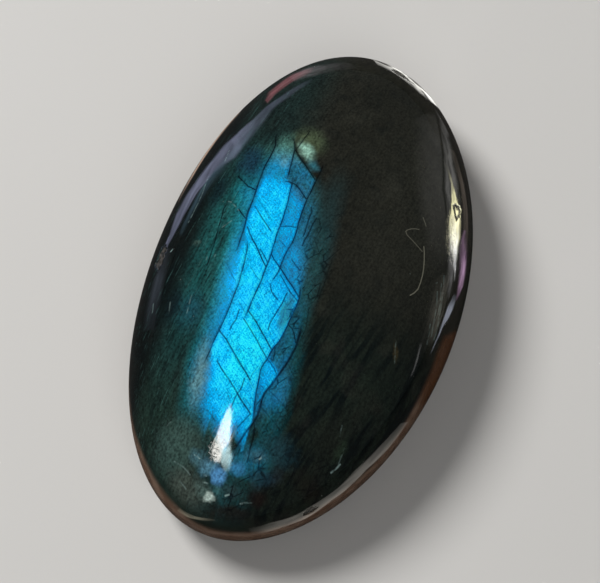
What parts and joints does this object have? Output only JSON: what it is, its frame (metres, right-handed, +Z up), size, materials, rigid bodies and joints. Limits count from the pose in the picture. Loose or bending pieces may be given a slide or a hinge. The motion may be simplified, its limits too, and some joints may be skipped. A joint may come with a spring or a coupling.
{
  "type": "polished labradorite palm stone",
  "caption": "Oval polished palm stone with a domed face, a rounded edge and a flat resting face, for holding in the hand or setting on a surface as an ornament.",
  "frame": {"origin": "centre of the stone's outline at the level of the resting face", "axes": "+Z up, from the resting face towards the domed face; +Y along the stone's long axis; +X across it"},
  "size_m": [0.0384, 0.066, 0.0175],
  "materials": {
    "stone": "polished"
  },
  "bodies": {
    "root": {"labradorite_stone": "stone"}
  },
  "joints": []
}
